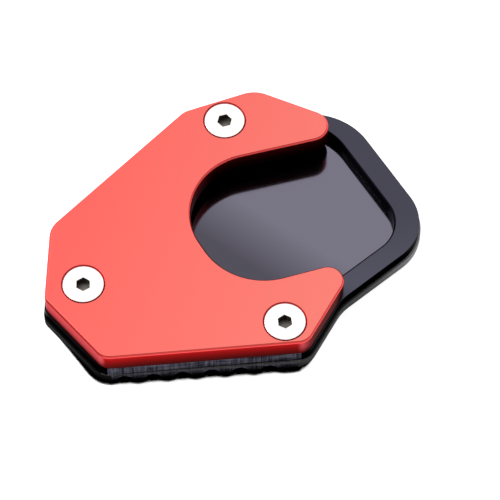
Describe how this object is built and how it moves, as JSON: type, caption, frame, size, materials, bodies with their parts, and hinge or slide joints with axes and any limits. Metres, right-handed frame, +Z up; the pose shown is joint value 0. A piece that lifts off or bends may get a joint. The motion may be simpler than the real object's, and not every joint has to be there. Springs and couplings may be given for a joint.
{
  "type": "kickstand foot enlarger",
  "caption": "Kickstand foot enlarger: an angular base plate with a foot pocket, a clamp plate with a U-shaped cut over it, and countersunk socket screws that join them.",
  "frame": {"origin": "on the base plate's underside, about in the middle of the part", "axes": "+Z up from the ground, +X along the straight front edge towards the open end of the U-shaped cut, +Y from the front edge to the back"},
  "size_m": [0.0968, 0.0757, 0.0117],
  "materials": {
    "black_anodised": "black anodised, satin on top and glossy on the walls",
    "red_anodised": "red anodised, fine satin",
    "screw_steel": "turned stainless steel"
  },
  "bodies": {
    "root": {"base_plate": "black_anodised", "clamp_plate": "red_anodised", "screws": "screw_steel"}
  },
  "joints": []
}
